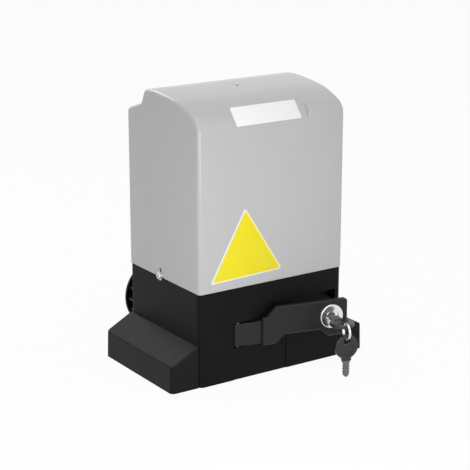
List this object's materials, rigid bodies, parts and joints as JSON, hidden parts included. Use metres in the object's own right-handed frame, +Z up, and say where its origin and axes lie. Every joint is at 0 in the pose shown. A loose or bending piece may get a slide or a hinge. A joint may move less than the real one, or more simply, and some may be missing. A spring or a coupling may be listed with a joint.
{
  "type": "sliding gate motor",
  "caption": "Sliding gate motor: black base with a rack pinion and fixing feet, lift-off grey cover, and a keyed release lever in the front.",
  "frame": {"origin": "on the ground under the middle of the base, between the four fixing slots", "axes": "+X to the right, +Y to the back where the pinion stands, +Z up; the lever faces -Y"},
  "size_m": [0.2654, 0.278, 0.3211],
  "materials": {
    "base_paint": "satin black powder coat",
    "foot_plastic": "satin black moulding",
    "cover_plastic": "satin silver-grey moulding",
    "lever_plastic": "satin black moulding",
    "chrome": "polished",
    "zinc_steel": "zinc plated",
    "steel": "machined",
    "gear_steel": "dark oiled steel",
    "bronze": "machined bronze",
    "rubber": "matte",
    "cast_aluminium": "as cast",
    "lamination": "varnished laminations",
    "copper_winding": "varnished copper wire",
    "key_plastic": "glossy black moulding",
    "board": "solder mask",
    "terminal_plastic": "moulded",
    "relay_plastic": "moulded",
    "black_plastic": "moulded",
    "white_plastic": "moulded",
    "glass_fuse": "fuse in its clips"
  },
  "bodies": {
    "base": {"base_housing": "base_paint", "lever_housing": "base_paint", "base_plate": "base_paint", "housing_screws": "zinc_steel", "cover_seal": "rubber", "cover_screws": "zinc_steel", "lever_pin": "steel", "motor_plate": "cast_aluminium", "plate_screws": "zinc_steel", "output_bearings": "steel", "oil_seal": "rubber", "motor_bearings": "steel", "motor_flange": "cast_aluminium", "stator_core": "lamination", "stator_windings": "copper_winding", "motor_end_bell": "cast_aluminium", "motor_tie_bolts": "zinc_steel", "capacitor": "white_plastic", "capacitor_clip": "zinc_steel", "transformer_core": "lamination", "transformer_coil": "copper_winding", "board_bracket": "zinc_steel", "control_board": "board", "board_screws": "zinc_steel", "terminal_blocks": "terminal_plastic", "relays": "relay_plastic", "controller_chip": "black_plastic", "fuse": "glass_fuse", "trimmers": "relay_plastic", "learn_switch": "black_plastic", "limit_sensor": "black_plastic", "cable_grommet": "rubber"},
    "cover": {"cover": "cover_plastic"},
    "foot_cover_left": {"foot_cover_left": "foot_plastic"},
    "foot_cover_right": {"foot_cover_right": "foot_plastic"},
    "lever": {"release_lever": "lever_plastic", "lock_body": "chrome", "lock_nut": "zinc_steel"},
    "lock": {"lock_plug": "chrome", "lock_cam": "zinc_steel", "cam_screw": "zinc_steel"},
    "key": {"key_blade": "steel", "key_bow": "key_plastic"},
    "ring": {"key_ring": "chrome"},
    "spare_key": {"spare_key_blade": "steel", "spare_key_bow": "key_plastic"},
    "rotor": {"motor_shaft": "steel", "rotor_core": "lamination", "worm": "gear_steel"},
    "wheel": {"worm_wheel": "bronze"},
    "output": {"output_shaft": "steel", "pinion": "gear_steel", "pinion_key": "steel", "pinion_washer": "zinc_steel", "pinion_bolt": "zinc_steel"},
    "clutch": {"release_rod": "steel", "clutch_pin": "steel", "clutch_dog": "gear_steel", "release_spring": "steel"},
    "learn_button": {"learn_button": "white_plastic"}
  },
  "joints": [
    {"name": "cover_lift", "type": "slide", "parent": "base", "child": "cover", "axis": [0, 0, 1], "range_m": [0, 0.225]},
    {"name": "foot_cover_left_lift", "type": "slide", "parent": "base", "child": "foot_cover_left", "axis": [0, 0, 1], "range_m": [0, 0.05]},
    {"name": "foot_cover_right_lift", "type": "slide", "parent": "base", "child": "foot_cover_right", "axis": [0, 0, 1], "range_m": [0, 0.05]},
    {"name": "lever_swing", "type": "hinge", "parent": "base", "child": "lever", "pos_m": [-0.0442, -0.07, 0.05125], "axis": [0, 0, -1], "range_deg": [-12.5, 77.5]},
    {"name": "lock_turn", "type": "hinge", "parent": "lever", "child": "lock", "pos_m": [0.06251, -0.10288, 0.0628], "axis": [0.2164, 0.9763, 0], "range_deg": [0, 90]},
    {"name": "key_withdraw", "type": "slide", "parent": "lock", "child": "key", "axis": [-0.2164, -0.9763, 0], "range_m": [0, 0.03]},
    {"name": "ring_swing", "type": "hinge", "parent": "key", "child": "ring", "pos_m": [0.05353, -0.14339, 0.0628], "axis": [0.9763, -0.2164, 0], "range_deg": [-10, 10]},
    {"name": "spare_key_swing", "type": "hinge", "parent": "ring", "child": "spare_key", "pos_m": [0.05353, -0.14339, 0.0489], "axis": [-0.2164, -0.9763, 0], "range_deg": [-30, 30]},
    {"name": "motor_spin", "type": "hinge", "parent": "base", "child": "rotor", "pos_m": [0.01, 0.018, 0.166], "axis": [0, 0, 1], "continuous": true},
    {"name": "worm_wheel_spin", "type": "hinge", "parent": "base", "child": "wheel", "pos_m": [-0.0395, 0.018, 0.05], "axis": [0, 1, 0], "continuous": true},
    {"name": "output_spin", "type": "hinge", "parent": "base", "child": "output", "pos_m": [-0.0395, 0.103, 0.05], "axis": [0, 1, 0], "continuous": true},
    {"name": "clutch_slide", "type": "slide", "parent": "output", "child": "clutch", "axis": [0, -1, 0], "range_m": [-0.0006, 0.0036], "deforming": ["release_spring"]},
    {"name": "learn_button_press", "type": "slide", "parent": "base", "child": "learn_button", "axis": [0, 1, 0], "range_m": [0, 0.001], "stiffness_N_per_m": 300, "springref_m": -0.0003}
  ],
  "couplings": [
    {"joint": "worm_wheel_spin", "follows": "motor_spin", "ratio": 0.033333},
    {"joint": "output_spin", "follows": "motor_spin", "ratio": 0.033333},
    {"joint": "clutch_slide", "follows": "lever_swing", "m_per_rad": 0.0025465}
  ]
}
